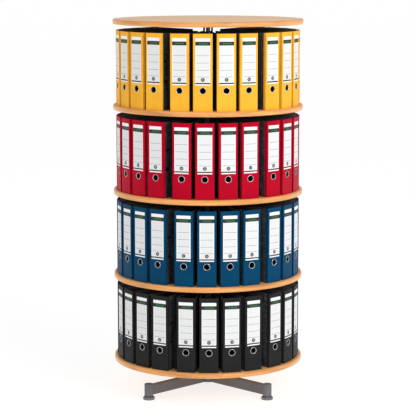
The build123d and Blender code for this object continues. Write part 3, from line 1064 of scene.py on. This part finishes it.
# ------------------------------------------------------------------ tiers, stand and room
TIER_TURNS: dict[FileColour, float] = {
    FileColour.BLACK: 7.7,
    FileColour.BLUE: 6.4,
    FileColour.RED: 5.2,
    FileColour.YELLOW: 4.0,
}
EMPTY_COMPARTMENTS: dict[FileColour, int] = {FileColour.YELLOW: 3}
TO_FRONT = -90.0  # degrees that turn +X, where a pattern's spine is, to the front


@dataclass
class Tier:
    """A turning shelf and the files on it."""

    colour: FileColour
    level: int
    turn: float
    model: LeverArchFile
    spine_finish: bpy.types.Material
    file_step: float = 14.2
    compartments: int = 6
    files_in_each: int = 4
    empty: int | None = None
    first_top: float = 0.149
    pitch: float = 0.366

    @property
    def name(self) -> str:
        """The word that this tier's parts start with."""
        return self.colour.value

    def angles(self) -> list[float]:
        """Every file's angle, the drawn one first."""
        drawn = -self.file_step / 2
        turns = []
        centre = (self.files_in_each - 1) / 2
        for compartment in range(self.compartments):
            if compartment == self.empty:
                continue
            middle = compartment * 360.0 / self.compartments
            turns += [middle + self.file_step * (i - centre) for i in range(self.files_in_each)]
        return [drawn] + [turn for turn in turns if abs(turn - drawn) > TOUCH]

    def place(self, angle: float) -> Matrix:
        """Where a file stands, from its angle in the tier."""
        up = Matrix.Translation((0, 0, self.first_top + self.level * self.pitch))
        return up @ Matrix.Rotation(math.radians(angle + self.turn + TO_FRONT), 4, "Z")

    def build(self) -> None:
        """Makes and registers the tier's files."""
        places = [self.place(angle) for angle in self.angles()]
        groups = (
            ("fixed", places[1:], f"{self.name}_tier", None),
            ("drawn", places[:1], f"{self.name}_file", f"{self.name}_drawn_file"),
        )
        stands_for = {
            "spine": (f"{self.name}_file_spines", f"{self.name}_spine_paper"),
            "covers": (f"{self.name}_file_covers", "marbled_black_board"),
            "label": (f"{self.name}_file_labels", "label_paper"),
            "eyelet": (None, "nickel_steel"),
            "mechanism": (f"{self.name}_file_hardware", "nickel_steel"),
        }
        for group, group_places, body, whole in groups:
            for part, (node, slot) in stands_for.items():
                pattern = self.model.parts[part]
                piece = copies(f"{self.name}_{group}_{part}", pattern, group_places)
                if part == "spine":
                    piece.data.materials[0] = self.spine_finish
                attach(piece, body)
                if whole is None and node:
                    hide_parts(node)
                elif part == "spine":
                    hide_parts(whole)
                LOG.info("%s: %d copies on %s", piece.name, len(group_places), body)


@dataclass
class Column:
    """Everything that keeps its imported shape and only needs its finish."""

    finishes: dict[str, bpy.types.Material] = field(default_factory=dict)

    def build(self) -> None:
        """Makes each finish once."""
        listed = (
            BeechDecor(),
            # the shelf boards' copy of the board beech, darker and more orange: painted shade and
            # painted bounce light from the files standing on them
            BeechDecor(
                "beech_shelf", tint(238, 184, 128), tint(216, 154, 98), tint(170, 112, 66)
            ),
            BeechEdging(),
            PowderCoat("grey_powder_coat", tint(97, 97, 100)),
            PowderCoat("black_steel_sheet", tint(30, 30, 32), 0.5),
            MouldedPlastic("grey_plastic", tint(98, 97, 100)),
            MouldedPlastic("dark_cast_hub", tint(26, 26, 28), 0.35, 700.0),
            MouldedPlastic("foot_rubber", tint(110, 110, 113), 0.5),
            TurnedMetal("zinc_steel", (0.56, 0.57, 0.55), 0.34),
            TurnedMetal("bearing_steel", (0.55, 0.55, 0.55), 0.2),
            TurnedMetal("nickel_steel", (0.72, 0.72, 0.71), 0.16),
        )
        for finish in listed:
            self.finishes[finish.name] = finish.build()

    def dress(self) -> None:
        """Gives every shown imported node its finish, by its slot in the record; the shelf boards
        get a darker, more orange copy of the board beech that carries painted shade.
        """
        slots = {entry["node"]: entry["material_slot"] for entry in frame["record"]["subparts"]}
        for name, node in frame["nodes"].items():
            wanted = "beech_shelf" if name.endswith("_shelf_board") else slots[name]
            finish = self.finishes.get(wanted)
            if finish is None:
                continue
            node.data.materials.clear()
            node.data.materials.append(finish)
            LOG.info("%s: %s", name, finish.name)


@dataclass
class Room:
    """The plain floor, the soft lights and the camera."""

    eye: Point = (0.0, -7.351, 1.872)
    look_down: float = 8.37
    lens: float = 147.3
    floor_size: float = 600.0
    floor_tone: Colour = (0.3, 0.3, 0.3)
    floor_glow: float = 0.78
    ambient: float = 0.6
    lit_point: Point = (0.0, 0.0, 0.8)

    def build(self) -> None:
        """Makes floor, lights and camera."""
        self._floor()
        self._world()
        self._lamp("key_panel", (3.4, -4.2, 3.8), 3.2, 165.0)
        self._lamp("fill_panel", (-2.0, -4.6, 3.9), 3.0, 26.0)
        self._camera()

    def _floor(self) -> None:
        """A wide pale floor."""
        Bench("floor")
        bpy.ops.mesh.primitive_plane_add(size=self.floor_size)
        floor = bpy.context.object
        floor.name = "floor"
        mix = Mixture("floor_paint")
        patch = mix.cloud(mix.place(), 0.6, 2.0)
        tone = tuple(part * 0.985 for part in self.floor_tone)
        mix.set(Base_Color=mix.blend(patch, self.floor_tone, tone), Roughness=0.85)
        mix.set(Emission_Color=(1.0, 1.0, 1.0), Emission_Strength=self.floor_glow)
        floor.data.materials.append(mix.material)

    def _world(self) -> None:
        """Even white surroundings."""
        world = bpy.data.worlds.new("studio")
        world.use_nodes = True
        tree = world.node_tree
        sky = tree.nodes["Background"]
        sky.inputs["Color"].default_value = (1.0, 1.0, 1.0, 1.0)
        ray = tree.nodes.new("ShaderNodeLightPath")
        seen = Wire(tree, ray.outputs["Is Camera Ray"])
        plug(tree, sky.inputs["Strength"], self.ambient + seen * (1.0 - self.ambient))
        bpy.context.scene.world = world
        bpy.context.scene.view_settings.view_transform = "Standard"

    def _lamp(self, name: str, at: Point, size: float, power: float) -> None:
        """A square soft light that faces the middle of the column."""
        light = bpy.data.lights.new(name, "AREA")
        light.size = size
        light.energy = power
        lamp = bpy.data.objects.new(name, light)
        lamp.location = at
        towards = Vector(self.lit_point) - Vector(at)
        lamp.rotation_euler = towards.to_track_quat("-Z", "Y").to_euler()
        lamp.visible_camera = False
        bpy.context.scene.collection.objects.link(lamp)

    def _camera(self) -> None:
        """A long lens a little above the column's top, looking slightly down."""
        data = bpy.data.cameras.new("camera")
        data.lens = self.lens
        data.sensor_width = 36.0
        camera = bpy.data.objects.new("camera", data)
        camera.location = self.eye
        camera.rotation_euler = (math.radians(90 - self.look_down), 0.0, 0.0)
        bpy.context.scene.collection.objects.link(camera)
        bpy.context.scene.camera = camera


def main() -> None:
    """Builds every piece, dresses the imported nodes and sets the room."""
    logging.basicConfig(level=logging.INFO)
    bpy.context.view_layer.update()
    column = Column()
    column.build()
    column.dress()
    model = LeverArchFile(
        marble=MarbledBoard().build(),
        lining=LiningPaper().build(),
        label_print=LabelPrint().build(),
        nickel=column.finishes["nickel_steel"],
        moulding=column.finishes["dark_cast_hub"],
    )
    model.build()
    for level, colour in enumerate(FileColour):
        paper = CoveringPaper(f"{colour.value}_spine_paper", SPINE_TONES[colour]).build()
        empty = EMPTY_COMPARTMENTS.get(colour)
        Tier(colour, level, TIER_TURNS[colour], model, paper, empty=empty).build()
    model.discard()
    Room().build()


if __name__ == "__main__":
    main()
